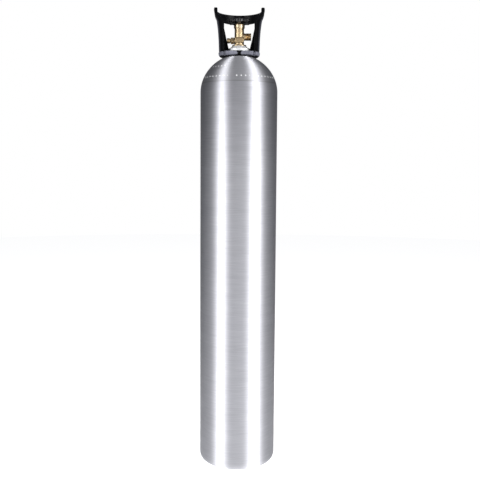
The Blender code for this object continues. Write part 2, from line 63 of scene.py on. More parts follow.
def grid_object(name, rings, closed_loop, matrix=None, cap_start=False, cap_end=False, sharp=40):
    """rings: list of closed rings of points (drawing units), joined in order; caps are fans to the ring's centre."""
    bm = bmesh.new()
    rows = [[bm.verts.new(Vector(p) * U) for p in ring] for ring in rings]
    pairs = list(zip(rows, rows[1:]))
    if closed_loop:
        pairs.append((rows[-1], rows[0]))
    for a, b in pairs:
        n = len(a)
        for i in range(n):
            j = (i + 1) % n
            bm.faces.new((a[i], a[j], b[j], b[i]))
    for flag, row in ((cap_start, rows[0]), (cap_end, rows[-1])):
        if flag:
            c = bm.verts.new(sum((v.co for v in row), Vector()) / len(row))
            n = len(row)
            for i in range(n):
                bm.faces.new((row[(i + 1) % n], row[i], c))
    bmesh.ops.recalc_face_normals(bm, faces=bm.faces)
    if bm.calc_volume(signed=True) < 0:
        bmesh.ops.reverse_faces(bm, faces=bm.faces)
    mesh = bpy.data.meshes.new(name)
    bm.to_mesh(mesh)
    bm.free()
    if matrix is not None:
        mesh.transform(matrix)
    shade(mesh, sharp)
    return new_object(name, mesh)


def shade(mesh, sharp=40):
    mesh.shade_smooth()
    if sharp:
        mesh.set_sharp_from_angle(angle=math.radians(sharp))


def lathe(name, profile, steps, loop=False, matrix=None, radius=None, sharp=32):
    """Turned solid. profile is (r, z) from the axis to the axis, or a closed loop. radius(r, z, angle) may vary it."""
    rings = []
    pts = [p for p in profile if p[0] > 1e-6]
    for r, z in pts:
        ring = []
        for i in range(steps):
            a = TAU * i / steps
            rr = radius(r, z, a) if radius else r
            ring.append((rr * math.cos(a), rr * math.sin(a), z))
        rings.append(ring)
    return grid_object(name, rings, loop, matrix, cap_start=not loop, cap_end=not loop, sharp=sharp)


def rounded(points, radius, steps=3, loop=False):
    """A profile whose corners are rounded, each by (at most) the given radius or its own third number."""
    out = []
    n = len(points)
    for i, p in enumerate(points):
        r = p[2] if len(p) > 2 else radius
        if (not loop and i in (0, n - 1)) or r <= 0:
            out.append((p[0], p[1]))
            continue
        a, b, c = Vector(points[i - 1][:2]), Vector(p[:2]), Vector(points[(i + 1) % n][:2])
        u, v = a - b, c - b
        lu, lv = u.length, v.length
        if lu < 1e-6 or lv < 1e-6:
            out.append(tuple(b))
            continue
        u, v = u / lu, v / lv
        angle = math.acos(max(-1.0, min(1.0, u.dot(v))))
        if angle > math.radians(172):
            out.append(tuple(b))
            continue
        cut = min(r / math.tan(angle / 2), lu * 0.45, lv * 0.45)
        p0, p1 = b + u * cut, b + v * cut
        for k in range(steps + 1):
            t = k / steps
            q = p0 * (1 - t) ** 2 + b * 2 * t * (1 - t) + p1 * t * t
            out.append((q.x, q.y))
    return out


def axis_x(z, y=0.0, sign=1):
    """Turns a lathe built along +Z so that it runs along +X or -X at a height in drawing units."""
    return Matrix.Translation((0, y * U, z * U)) @ Matrix.Rotation(sign * math.pi / 2, 4, "Y")


def box_object(name, low, high):
    bm = bmesh.new()
    bmesh.ops.create_cube(bm, size=1.0)
    for v in bm.verts:
        v.co = Vector([(l + (c + 0.5) * (h - l)) * U for l, h, c in zip(low, high, v.co)])
    mesh = bpy.data.meshes.new(name)
    bm.to_mesh(mesh)
    bm.free()
    return new_object(name, mesh)


def prism(name, points, low, high, plane="XY", matrix=None):
    """Extruded outline in drawing units."""
    bm = bmesh.new()
    if plane == "XY":
        lo = [bm.verts.new(Vector((a, b, low)) * U) for a, b in points]
        hi = [bm.verts.new(Vector((a, b, high)) * U) for a, b in points]
    else:
        lo = [bm.verts.new(Vector((a, low, b)) * U) for a, b in points]
        hi = [bm.verts.new(Vector((a, high, b)) * U) for a, b in points]
    n = len(points)
    bm.faces.new(lo)
    bm.faces.new(hi)
    for i in range(n):
        j = (i + 1) % n
        bm.faces.new((lo[i], lo[j], hi[j], hi[i]))
    bmesh.ops.recalc_face_normals(bm, faces=bm.faces)
    if bm.calc_volume(signed=True) < 0:
        bmesh.ops.reverse_faces(bm, faces=bm.faces)
    mesh = bpy.data.meshes.new(name)
    bm.to_mesh(mesh)
    bm.free()
    if matrix is not None:
        mesh.transform(matrix)
    return new_object(name, mesh)


def hex_points(across_flats, turn=0.0, chamfer=0.0):
    r = across_flats / 2 / math.cos(math.pi / 6)
    return [(r * math.cos(math.pi / 3 * i + turn), r * math.sin(math.pi / 3 * i + turn)) for i in range(6)]


def evaluated(ob):
    dg = bpy.context.evaluated_depsgraph_get()
    return bpy.data.meshes.new_from_object(ob.evaluated_get(dg))


def boolean(ob, tools, operation):
    for tool in tools:
        m = ob.modifiers.new("b", "BOOLEAN")
        m.operation = operation
        m.solver = "EXACT"
        m.object = tool
        mesh = evaluated(ob)
        ob.modifiers.clear()
        old = ob.data
        ob.data = mesh
        bpy.data.meshes.remove(old)
        bpy.data.objects.remove(tool, do_unlink=True)


def soften(ob, voxel, smooth_steps, keep, sharp=0):
    """Moulded or forged surface: remesh, relax the edges, thin out the triangles again."""
    bm = bmesh.new()
    bm.from_mesh(ob.data)
    bmesh.ops.remove_doubles(bm, verts=bm.verts, dist=2e-6)
    bmesh.ops.dissolve_degenerate(bm, edges=bm.edges, dist=1e-6)
    bm.to_mesh(ob.data)
    bm.free()
    m = ob.modifiers.new("remesh", "REMESH")
    m.mode = "VOXEL"
    m.voxel_size = voxel * U
    m.adaptivity = 0.0
    s = ob.modifiers.new("smooth", "SMOOTH")
    s.factor = 0.5
    s.iterations = smooth_steps
    if keep < 1:
        d = ob.modifiers.new("thin", "DECIMATE")
        d.ratio = keep
    mesh = evaluated(ob)
    ob.modifiers.clear()
    old = ob.data
    ob.data = mesh
    bpy.data.meshes.remove(old)
    bm = bmesh.new()
    bm.from_mesh(ob.data)
    print("PIECE", ob.name, len(bm.verts), round(bm.calc_volume() * 1e9), "mm3, open edges", sum(len(e.link_faces) != 2 for e in bm.edges))
    bm.free()
    shade(ob.data, sharp)


def bevelled(ob, width, segments=2, angle=35, sharp=40):
    b = ob.modifiers.new("bevel", "BEVEL")
    b.width = width * U
    b.segments = segments
    b.limit_method = "ANGLE"
    b.angle_limit = math.radians(angle)
    b.harden_normals = False
    mesh = evaluated(ob)
    ob.modifiers.clear()
    old = ob.data
    ob.data = mesh
    bpy.data.meshes.remove(old)
    shade(ob.data, sharp)


# ------------------------------------------------------------------------------------------------
# materials
# ------------------------------------------------------------------------------------------------
class Nodes:
    """A short way to write node trees."""

    def __init__(self, name):
        self.mat = bpy.data.materials.new(name)
        self.mat.use_nodes = True
        self.tree = self.mat.node_tree
        self.bsdf = self.tree.nodes["Principled BSDF"]
        self.x = -300

    def add(self, kind, **values):
        n = self.tree.nodes.new(kind)
        self.x -= 160
        n.location = (self.x, 0)
        for k, v in values.items():
            if k.startswith("in_"):
                key = k[3:]
                n.inputs[int(key) if key.isdigit() else key.replace("_", " ")].default_value = v
            else:
                setattr(n, k, v)
        return n

    def link(self, a, b):
        self.tree.links.new(a, b)

    def set(self, **values):
        for k, v in values.items():
            self.bsdf.inputs[k.replace("_", " ")].default_value = v

    def coords(self):
        return self.add("ShaderNodeTexCoord").outputs["Object"]

    def math(self, op, a, b=None, c=None, clamp=False):
        n = self.add("ShaderNodeMath", operation=op)
        n.use_clamp = clamp
        for i, v in enumerate((a, b, c)):
            if v is None:
                continue
            if isinstance(v, (int, float)):
                n.inputs[i].default_value = v
            else:
                self.link(v, n.inputs[i])
        return n.outputs[0]

    def noise(self, vector, scale, detail=2.0, rough=0.5, w=None, dim="3D"):
        n = self.add("ShaderNodeTexNoise")
        n.noise_dimensions = dim
        n.inputs["Scale"].default_value = scale
        n.inputs["Detail"].default_value = detail
        n.inputs["Roughness"].default_value = rough
        if vector is not None:
            self.link(vector, n.inputs["Vector"])
        if w is not None:
            self.link(w, n.inputs["W"])
        return n.outputs["Fac"]

    def ramp(self, fac, stops, interpolation="LINEAR"):
        n = self.add("ShaderNodeValToRGB")
        n.color_ramp.interpolation = interpolation
        el = n.color_ramp.elements
        while len(el) > 1:
            el.remove(el[-1])
        for i, (pos, col) in enumerate(stops):
            e = el[0] if i == 0 else el.new(pos)
            e.position = pos
            e.color = col if len(col) == 4 else (*col, 1.0)
        self.link(fac, n.inputs[0])
        return n.outputs["Color"]

    def map_range(self, value, a, b, c, d):
        n = self.add("ShaderNodeMapRange")
        self.link(value, n.inputs["Value"])
        for k, v in zip(("From Min", "From Max", "To Min", "To Max"), (a, b, c, d)):
            n.inputs[k].default_value = v
        return n.outputs["Result"]

    def mix(self, fac, a, b, blend="MIX"):
        n = self.add("ShaderNodeMix", data_type="RGBA", blend_type=blend)
        if isinstance(fac, (int, float)):
            n.inputs[0].default_value = fac
        else:
            self.link(fac, n.inputs[0])
        for i, v in ((6, a), (7, b)):
            if isinstance(v, tuple):
                n.inputs[i].default_value = v if len(v) == 4 else (*v, 1.0)
            else:
                self.link(v, n.inputs[i])
        return n.outputs[2]

    def bump(self, height, distance, strength=1.0, chain=None):
        n = self.add("ShaderNodeBump")
        n.inputs["Strength"].default_value = strength
        n.inputs["Distance"].default_value = distance
        self.link(height, n.inputs["Height"])
        if chain is not None:
            self.link(chain, n.inputs["Normal"])
        return n.outputs["Normal"]

    def turned_coords(self, centre=(0, 0, 0), axis="Z"):
        """(direction round the axis, radius, place along the axis)."""
        c = self.add("ShaderNodeVectorMath", operation="SUBTRACT")
        self.link(self.coords(), c.inputs[0])
        c.inputs[1].default_value = centre
        sep = self.add("ShaderNodeSeparateXYZ")
        self.link(c.outputs[0], sep.inputs[0])
        x, y, z = sep.outputs
        if axis == "X":
            x, y, z = y, z, x
        r = self.math("SQRT", self.math("ADD", self.math("MULTIPLY", x, x), self.math("MULTIPLY", y, y)))
        safe = self.math("MAXIMUM", r, 1e-5)
        comb = self.add("ShaderNodeCombineXYZ")
        self.link(self.math("DIVIDE", x, safe), comb.inputs[0])
        self.link(self.math("DIVIDE", y, safe), comb.inputs[1])
        return comb.outputs[0], r, z


def brushed_aluminium(name):
    n = Nodes(name)
    n.set(Metallic=1.0, Anisotropic=0.9, Anisotropic_Rotation=0.25)
    around, r, z = n.turned_coords()
    along = n.math("ADD", z, n.math("MULTIPLY", r, 0.9))
    fine = n.noise(around, 1.3, 3.0, 0.6, w=n.math("MULTIPLY", along, 1500.0), dim="4D")
    mid = n.noise(around, 2.2, 3.0, 0.65, w=n.math("MULTIPLY", along, 330.0), dim="4D")
    broad = n.noise(around, 0.9, 2.0, 0.6, w=n.math("MULTIPLY", along, 48.0), dim="4D")
    cloud = n.noise(n.coords(), 6.0, 3.0, 0.6)
    # the machine-brushed wall ends at a line on the shoulder; above it the surface is smoother and spun
    seam = n.map_range(z, 1021.0 * U, 1023.0 * U, 0.0, 1.0)
    tone = n.math("ADD", n.math("MULTIPLY", mid, 0.55), n.math("MULTIPLY", fine, 0.45))
    tone = n.math("ADD", n.math("MULTIPLY", tone, 0.8), n.math("MULTIPLY", broad, 0.2))
    wall = n.ramp(tone, [(0.30, (0.590, 0.594, 0.635)), (0.50, (0.710, 0.712, 0.755)), (0.70, (0.830, 0.832, 0.875))])
    spun = n.ramp(tone, [(0.30, (0.610, 0.612, 0.640)), (0.50, (0.670, 0.672, 0.705)), (0.70, (0.740, 0.742, 0.775))])
    base = n.mix(seam, wall, spun)
    base = n.mix(n.map_range(cloud, 0.35, 0.65, 0.0, 0.12), base, (0.55, 0.55, 0.56))
    # painted shade: the base colour darkens towards the shoulder; a dark step lies where the wall's brushing stops
    base = n.mix(n.map_range(z, 790.0 * U, 985.0 * U, 0.0, 1.0), base, (0.78, 0.78, 0.79), blend="MULTIPLY")
    step = n.math("MULTIPLY", n.map_range(z, 1019.6 * U, 1020.8 * U, 0.0, 1.0), n.map_range(z, 1022.0 * U, 1023.6 * U, 1.0, 0.0))
    base = n.mix(n.math("MULTIPLY", step, 0.45), base, (0.30, 0.30, 0.31))
    # plain round punch dots in two rows on the shoulder, evenly spaced inside each group
    sep = n.add("ShaderNodeSeparateXYZ")
    n.link(n.coords(), sep.inputs[0])
    px, py = sep.outputs[0], sep.outputs[1]
    angle = n.math("ARCTAN2", px, n.math("MULTIPLY", py, -1.0))
    turn = n.map_range(angle, -math.pi / 2, math.pi / 2, 0.0, 1.0)
    dots = None
    for z0, count, groups in (
        (1035.0, 52, [(0.0, 0.0), (0.10, 1.0), (0.40, 0.0), (0.455, 1.0), (0.59, 0.0), (0.67, 1.0), (0.90, 0.0)]),
        (1061.5, 46, [(0.0, 0.0), (0.14, 1.0), (0.36, 0.0)]),
    ):
        cell = n.math("SUBTRACT", n.math("FRACT", n.math("MULTIPLY", angle, count / TAU)), 0.5)
        dx = n.math("MULTIPLY", n.math("MULTIPLY", cell, TAU / count), r)
        dz = n.math("MULTIPLY", n.math("SUBTRACT", z, z0 * U), 1.15)
        d = n.math("SQRT", n.math("ADD", n.math("MULTIPLY", dx, dx), n.math("MULTIPLY", dz, dz)))
        dot = n.math("MULTIPLY", n.map_range(d, 1.5 * U, 2.0 * U, 1.0, 0.0),
                     n.ramp(turn, [(p, (v, v, v)) for p, v in groups], interpolation="CONSTANT"))
        dots = dot if dots is None else n.math("MAXIMUM", dots, dot)
    base = n.mix(dots, base, (0.96, 0.96, 0.97))
    # painted shade: the dome just under the carry handle's collar is painted near-black
    base = n.mix(n.map_range(z, 1089.4 * U, 1091.4 * U, 0.0, 1.0), base, (0.012, 0.012, 0.014))
    n.link(base, n.bsdf.inputs["Base Color"])
    rough = n.math("ADD", n.map_range(tone, 0.3, 0.7, 0.71, 0.60), n.math("MULTIPLY", seam, 0.02))
    n.link(rough, n.bsdf.inputs["Roughness"])
    n.link(n.math("SUBTRACT", 1.0, n.math("MULTIPLY", dots, 0.7)), n.bsdf.inputs["Metallic"])
    height = n.math("ADD", n.math("MULTIPLY", fine, 0.6), mid)
    n.link(n.bump(height, 0.00006, 0.55), n.bsdf.inputs["Normal"])
    tan = n.add("ShaderNodeTangent", direction_type="RADIAL", axis="Z")
    n.link(tan.outputs[0], n.bsdf.inputs["Tangent"])
    return n.mat


def neck_aluminium(name):
    n = Nodes(name)
    n.set(Metallic=0.55, Specular_IOR_Level=0.5)
    around, r, z = n.turned_coords()
    lines = n.noise(around, 1.0, 2.0, 0.6, w=n.math("MULTIPLY", n.math("ADD", z, r), 2600.0), dim="4D")
    bright = n.ramp(lines, [(0.3, (0.66, 0.67, 0.69)), (0.7, (0.82, 0.83, 0.84))])
    # painted shade: a near-black, duller band on the neck under and inside the carry handle's collar
    collar_painted_shade = n.math("MULTIPLY", n.map_range(z, 1089.6 * U, 1091.2 * U, 0.0, 1.0), n.map_range(z, 1105.0 * U, 1106.4 * U, 1.0, 0.0))
    n.link(n.mix(collar_painted_shade, bright, (0.012, 0.012, 0.014)), n.bsdf.inputs["Base Color"])
    n.link(n.map_range(collar_painted_shade, 0.0, 1.0, 0.5, 0.1), n.bsdf.inputs["Specular IOR Level"])
    n.link(n.math("ADD", n.map_range(lines, 0.3, 0.7, 0.60, 0.50), n.math("MULTIPLY", collar_painted_shade, 0.1)), n.bsdf.inputs["Roughness"])
    n.link(n.bump(lines, 0.00004, 0.35), n.bsdf.inputs["Normal"])
    tan = n.add("ShaderNodeTangent", direction_type="RADIAL", axis="Z")
    n.link(tan.outputs[0], n.bsdf.inputs["Tangent"])
    return n.mat


def turned_brass(name, rgb=(0.52, 0.405, 0.25), rough=0.38, axis="Z", centre=(0, 0, 0)):
    n = Nodes(name)
    n.set(Metallic=1.0)
    around, r, z = n.turned_coords(centre, axis)
    lines = n.noise(around, 1.2, 2.0, 0.6, w=n.math("MULTIPLY", n.math("ADD", z, n.math("MULTIPLY", r, 1.2)), 3200.0), dim="4D")
    stain = n.noise(n.coords(), 160.0, 4.0, 0.6)
    dark = tuple(c * 0.78 for c in rgb)
    base = n.ramp(lines, [(0.30, dark), (0.62, rgb)])
    base = n.mix(n.map_range(stain, 0.52, 0.75, 0.0, 0.35), base, (0.40, 0.28, 0.15))
    n.link(base, n.bsdf.inputs["Base Color"])
    n.link(n.math("ADD", n.map_range(lines, 0.3, 0.7, rough + 0.10, rough), n.map_range(stain, 0.5, 0.8, 0.0, 0.14)),
           n.bsdf.inputs["Roughness"])
    n.link(n.bump(n.math("ADD", lines, n.math("MULTIPLY", stain, 0.4)), 0.00005, 0.5), n.bsdf.inputs["Normal"])
    return n.mat


def forged_brass(name, rgb=(0.38, 0.285, 0.168)):
    n = Nodes(name)
    n.set(Metallic=1.0)
    co = n.coords()
    grain = n.noise(co, 1500.0, 3.0, 0.6)
    pits = n.noise(co, 520.0, 2.0, 0.5)
    stain = n.noise(co, 90.0, 3.0, 0.6)
    base = n.ramp(grain, [(0.35, tuple(c * 0.72 for c in rgb)), (0.60, rgb)])
    base = n.mix(n.map_range(stain, 0.5, 0.72, 0.0, 0.3), base, (0.31, 0.22, 0.12))
    n.link(base, n.bsdf.inputs["Base Color"])
    n.link(n.map_range(grain, 0.3, 0.7, 0.52, 0.36), n.bsdf.inputs["Roughness"])
    height = n.math("ADD", grain, n.math("MULTIPLY", pits, 1.3))
    n.link(n.bump(height, 0.00016, 0.8), n.bsdf.inputs["Normal"])
    return n.mat


def black_plastic(name, rough=0.42, base=(0.012, 0.012, 0.015), grain_scale=900.0, specular=0.5, bump=0.6):
    n = Nodes(name)
    n.set(Metallic=0.0, Specular_IOR_Level=specular)
    co = n.coords()
    grain = n.noise(co, grain_scale, 3.0, 0.6)
    flow = n.noise(co, 28.0, 3.0, 0.6)
    scuff = n.noise(co, 260.0, 4.0, 0.7)
    col = n.ramp(flow, [(0.35, base), (0.7, tuple(c * 1.5 + 0.001 for c in base))])
    col = n.mix(n.map_range(scuff, 0.64, 0.82, 0.0, 0.3), col, (0.03, 0.03, 0.035))
    n.link(col, n.bsdf.inputs["Base Color"])
    n.link(n.math("ADD", n.map_range(grain, 0.3, 0.7, rough - 0.05, rough + 0.06), n.map_range(flow, 0.3, 0.7, -0.03, 0.04)),
           n.bsdf.inputs["Roughness"])
    n.link(n.bump(grain, 0.00008, bump), n.bsdf.inputs["Normal"])
    return n.mat


def plated_steel(name, tone=0.62, rough=0.28):
    n = Nodes(name)
    n.set(Metallic=1.0)
    co = n.coords()
    lines = n.noise(co, 1400.0, 2.0, 0.5)
    stain = n.noise(co, 240.0, 3.0, 0.6)
    n.link(n.ramp(stain, [(0.35, (tone * 0.8, tone * 0.8, tone * 0.82)), (0.65, (tone, tone, tone * 1.02))]), n.bsdf.inputs["Base Color"])
    n.link(n.map_range(lines, 0.3, 0.7, rough + 0.08, rough - 0.03), n.bsdf.inputs["Roughness"])
    n.link(n.bump(lines, 0.00004, 0.4), n.bsdf.inputs["Normal"])
    return n.mat


def soft_solid(name, rgb, rough=0.6):
    n = Nodes(name)
    co = n.coords()
    grain = n.noise(co, 1800.0, 3.0, 0.6)
    n.link(n.ramp(grain, [(0.3, tuple(c * 0.8 for c in rgb)), (0.7, rgb)]), n.bsdf.inputs["Base Color"])
    n.link(n.map_range(grain, 0.3, 0.7, rough - 0.08, rough + 0.08), n.bsdf.inputs["Roughness"])
    n.link(n.bump(grain, 0.00005, 0.5), n.bsdf.inputs["Normal"])
    return n.mat


def paint(ob, *mats):
    ob.data.materials.clear()
    for m in mats:
        ob.data.materials.append(m)


def finish_piece(ob, body, node, mat, replaces=True):
    paint(ob, mat) if not isinstance(mat, (list, tuple)) else paint(ob, *mat)
    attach(ob, body)
    if replaces:
        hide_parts(node)


# ------------------------------------------------------------------------------------------------
# the aluminium cylinder
# ------------------------------------------------------------------------------------------------
CYL_R, CYL_TOP, DOME_H, DOME_POWER = 101.6, 1000.0, 98.2, 2.0 / 1.924


def dome(radius, height, r_top, count):
    t_top = math.acos((r_top / radius) ** (1.0 / DOME_POWER))
    pts = []
    for i in range(count + 1):
        t = t_top * (1.0 - i / count)
        pts.append((radius * math.cos(t) ** DOME_POWER, CYL_TOP + height * max(0.0, math.sin(t)) ** DOME_POWER))
    return pts


def arc(cx, cz, radius, start, end, count):
    return [(cx + radius * math.cos(math.radians(a)), cz + radius * math.sin(math.radians(a)))
            for a in [start + (end - start) * i / count for i in range(count + 1)]]


inner_r = CYL_R - 10.5
outer = [(13.3, 1115.8), (17.7, 1115.8)] + rounded(
    [(17.7, 1119.0), (18.9, 1119.0), (20.4, 1117.8), (22.4, 1115.5), (24.3, 1113.95), (27.0, 1113.3), (28.9, 1112.2), (28.9, 1108.0)],
    1.4, 4)
outer += [(28.9, 1101.0), (28.9, 1096.5)] + [(29.05, 1095.2), (29.5, 1094.1)]
outer += dome(CYL_R, DOME_H, 30.3, 48)
outer += [(CYL_R, CYL_TOP - 60.0 * i) for i in range(1, 17)]
outer += arc(CYL_R - 23.6, 23.6, 23.6, 0, -90, 14)
inner = [(20.0, 17.0), (inner_r - 22, 17.0)] + arc(inner_r - 22, 39.0, 22.0, -80, 0, 6)
inner += [(inner_r, CYL_TOP)] + list(reversed(dome(inner_r, 82.0, 16.5, 14)))[1:] + [(13.3, 1083.2)]
shell_profile = [(0.0, 17.0)] + inner + outer + [(40.0, 0.0), (0.0, 0.0)]
cylinder = lathe("aluminium_cylinder", shell_profile, 192, sharp=38)
mat_wall, mat_neck = brushed_aluminium("brushed_aluminium"), neck_aluminium("neck_aluminium")
finish_piece(cylinder, "cylinder", "cylinder_shell", [mat_wall, mat_neck])
for poly in cylinder.data.polygons:
    c = poly.center
    if c.z > 1094.5 * U:
        poly.material_index = 1

# ------------------------------------------------------------------------------------------------
# the carry handle
# ------------------------------------------------------------------------------------------------
COLLAR_TOP, HANDLE_TOP, HANDLE_FOOT, COLLAR_FRONT = 1102.6, 1211.0, 1101.4, -43.0
GRIP_BACK, GRIP_FRONT, POST_FRONT_X = 8.8, 44.0, 44.5
HANDLE_OUTER = [(HANDLE_FOOT, 53.1), (1133.0, 54.2), (1151.0, 55.3), (1164.0, 56.5), (1174.0, 57.9), (1181.0, 58.9),
                (1186.0, 60.0), (1190.0, 61.9), (1194.0, 63.6), (1199.0, 64.7), (1205.0, 65.5), (1208.4, 66.2)]
HANDLE_INNER = [(HANDLE_FOOT, 48.5), (1133.0, 49.6), (1164.0, 51.9), (1181.0, 54.3), (1187.0, 55.6), (1192.0, 56.3),
                (1200.0, 56.8), (1208.4, 57.0)]


def table(pairs, x):
    for (x0, v0), (x1, v1) in zip(pairs, pairs[1:]):
        if x <= x1:
            return v0 + (v1 - v0) * (x - x0) / (x1 - x0)
    return pairs[-1][1]


def straighten(z):
    t = min(1.0, max(0.0, (z - 1176.0) / 21.0))
    return t * t * (3.0 - 2.0 * t)


def plan_curve(half_width, z, arm_steps=14, back_steps=36):
    w = straighten(z)
    depth = half_width + GRIP_BACK * (z - HANDLE_FOOT) / (HANDLE_TOP - HANDLE_FOOT)
    outer_w = table(HANDLE_OUTER, z)
    front = (1.0 - w) * math.sqrt(outer_w * outer_w - POST_FRONT_X**2) + w * GRIP_FRONT
    side = []
    for i in range(arm_steps, 0, -1):
        y = front * i / arm_steps
        round_x = math.sqrt(max(0.0, half_width * half_width - y * y))
        straight_x = half_width * (1.0 - 0.018 * (y / GRIP_FRONT) ** 2)
        side.append(((1.0 - w) * round_x + w * straight_x, -y))
    for i in range(back_steps):
        angle = 0.5 * math.pi * i / back_steps
        side.append((half_width * math.cos(angle), depth * math.sin(angle)))
    return [(-x, y) for x, y in side] + [(0.0, depth)] + list(reversed(side))


def handle_wall():
    levels = [HANDLE_FOOT + (1208.4 - HANDLE_FOOT) * i / 44 for i in range(45)]
    section = [(z, table(HANDLE_OUTER, z)) for z in levels]
    section += [(1209.6, 66.0), (1210.5, 65.2), (HANDLE_TOP, 63.9), (HANDLE_TOP, 61.6), (HANDLE_TOP, 59.4), (1210.4, 57.9), (1209.5, 57.2)]
    section += [(z, table(HANDLE_INNER, z)) for z in reversed(levels)]
    bm = bmesh.new()
    rows = [[bm.verts.new(Vector((x, y, z)) * U) for x, y in plan_curve(w, z)] for z, w in section]
    n = len(rows)
    for i in range(n):
        a, b = rows[i], rows[(i + 1) % n]
        for j in range(len(a) - 1):
            bm.faces.new((a[j], a[j + 1], b[j + 1], b[j]))
    for end in (0, -1):
        for i in range(len(levels) - 1):
            bm.faces.new((rows[i][end], rows[i + 1][end], rows[n - 2 - i][end], rows[n - 1 - i][end]))
        bm.faces.new([rows[i][end] for i in range(len(levels) - 1, len(levels) + 8)])
    bmesh.ops.recalc_face_normals(bm, faces=bm.faces)
    mesh = bpy.data.meshes.new("handle_wall")
    bm.to_mesh(mesh)
    bm.free()
    return new_object("handle_wall", mesh)


COLLAR_R, COLLAR_BORE_R = 54.4, 29.3
collar_profile = [(COLLAR_R - 0.8, COLLAR_TOP), (COLLAR_R, COLLAR_TOP - 0.8)]
collar_profile += arc(COLLAR_R - 9.0, 1099.2, 9.0, 0, -90, 12)
collar_profile += [(38.5, 1091.6), (31.4, 1095.0), (COLLAR_BORE_R, 1096.8), (COLLAR_BORE_R, COLLAR_TOP - 0.8),
                   (COLLAR_BORE_R + 0.8, COLLAR_TOP), (42.0, COLLAR_TOP)]
handle = lathe("carry_handle_moulding", collar_profile, 180, loop=True)
CLAMP_Y, CLAMP_Z = -35.5, 1097.6
front_cut = new_object("front", bpy.data.meshes.new("front"))
bm = bmesh.new()
side_view = [(-80, 1080), (-33.0, 1080), (-33.0, 1089.6), (-36.4, 1090.4), (-39.6, 1092.0), (-42.0, 1094.6), (-43.0, 1097.8), (-43.0, 1101.6), (-42.0, 1108.0), (-80, 1108)]
left = [bm.verts.new(Vector((-75, y, z)) * U) for y, z in side_view]
right = [bm.verts.new(Vector((75, y, z)) * U) for y, z in side_view]
bm.faces.new(left)
bm.faces.new(right)
for i in range(len(left)):
    j = (i + 1) % len(left)
    bm.faces.new((left[i], left[j], right[j], right[i]))
bmesh.ops.recalc_face_normals(bm, faces=bm.faces)
bm.to_mesh(front_cut.data)
bm.free()
tools = [
    front_cut,
    box_object("split", (-4.5, -62, 1086), (4.5, -20, 1112)),
    box_object("split_top", (-6.6, -60, COLLAR_TOP - 2.45), (6.6, -39.0, 1111)),
    box_object("split_foot", (-6.7, -61, 1085), (6.7, -37.6, 1092.9)),
    lathe("hole", [(0, 30), (2.8, 30), (2.8, -30), (0, -30)], 32, matrix=axis_x(CLAMP_Z, CLAMP_Y)),
    lathe("pocket", [(0, -15), (4.9, -15), (4.9, -62), (0, -62)], 40, matrix=axis_x(CLAMP_Z, CLAMP_Y)),
    prism("nutpocket", hex_points(8.66), 15, 62, matrix=axis_x(CLAMP_Z, CLAMP_Y)),
]
boolean(handle, tools, "DIFFERENCE")
# shallow moulded pockets round the collar's face
pockets = []
for x in (-31.5, -19.0, 19.0, 31.5):
    pockets.append(box_object("pocket_face", (x - 2.0, -50.0, 1095.6), (x + 2.0, COLLAR_FRONT + 0.45, 1100.6)))
for k in range(34):
    a = TAU * (k + 0.5) / 34
    if -math.pi / 2 - 1.05 < math.atan2(math.sin(a), math.cos(a)) < -math.pi / 2 + 1.05:
        continue
    g = box_object("pocket_round", (COLLAR_R - 0.6, -2.0, 1099.2), (COLLAR_R + 4, 2.0, 1101.2))
    g.data.transform(Matrix.Rotation(a, 4, "Z"))
    pockets.append(g)
boolean(handle, pockets, "DIFFERENCE")
boolean(handle, [handle_wall()], "UNION")
half_rear = rounded([(23.4, 1106.0, 0), (25.9, 1108.5, 2), (28.9, 1122.0, 12), (34.0, 1142.5, 12), (37.9, 1160.6, 12), (41.4, 1176.2, 8),
                     (43.2, 1184.0, 3), (41.0, 1186.8, 2), (33.0, 1185.9, 8), (16.0, 1184.6, 8), (5.0, 1184.2, 0)], 2, 5)
window = prism("window", half_rear + [(-x, z) for x, z in reversed(half_rear)], 8.0, 95.0, "XZ")
boolean(handle, [window], "DIFFERENCE")
soften(handle, 0.62, 4, 0.35, sharp=0)
mat_handle = black_plastic("handle_plastic", 0.36, (0.0015, 0.0015, 0.0025), 900.0, 0.12)
mat_collar = black_plastic("collar_plastic", 0.55, (0.100, 0.102, 0.126), 1100.0, 0.3, 1.0)


def handle_outside(name):
    """The moulding's outer skin: black, with a painted sheen of lighter bluish grey on the sides that face along X."""
    n = Nodes(name)
    n.set(Metallic=0.0, Specular_IOR_Level=0.04)
    co = n.coords()
    sep = n.add("ShaderNodeSeparateXYZ")
    n.link(co, sep.inputs[0])
    x, y, z = sep.outputs
    r = n.math("SQRT", n.math("ADD", n.math("MULTIPLY", x, x), n.math("MULTIPLY", y, y)))
    side = n.math("DIVIDE", n.math("ABSOLUTE", x), n.math("MAXIMUM", r, 1e-4))
    # painted sheen: the sides facing along X are painted lighter, broken up by noise
    side_painted_sheen = n.map_range(side, 0.90, 0.97, 0.0, 1.0)
    flow = n.noise(co, 45.0, 4.0, 0.65)
    streak = n.add("ShaderNodeMapping")
    streak.inputs["Scale"].default_value = (260.0, 260.0, 18.0)
    n.link(co, streak.inputs["Vector"])
    lines = n.noise(streak.outputs[0], 1.0, 3.0, 0.6)
    side_painted_sheen = n.math("MULTIPLY", side_painted_sheen, n.map_range(flow, 0.3, 0.7, 0.55, 1.1))
    side_painted_sheen = n.math("MULTIPLY", side_painted_sheen, n.map_range(lines, 0.35, 0.65, 0.7, 1.1), clamp=True)
    n.link(n.mix(side_painted_sheen, (0.0015, 0.0015, 0.002), (0.050, 0.052, 0.066)), n.bsdf.inputs["Base Color"])
    grain = n.noise(co, 1000.0, 3.0, 0.6)
    n.link(n.map_range(grain, 0.3, 0.7, 0.40, 0.52), n.bsdf.inputs["Roughness"])
    n.link(n.bump(grain, 0.00008, 0.9), n.bsdf.inputs["Normal"])
    return n.mat


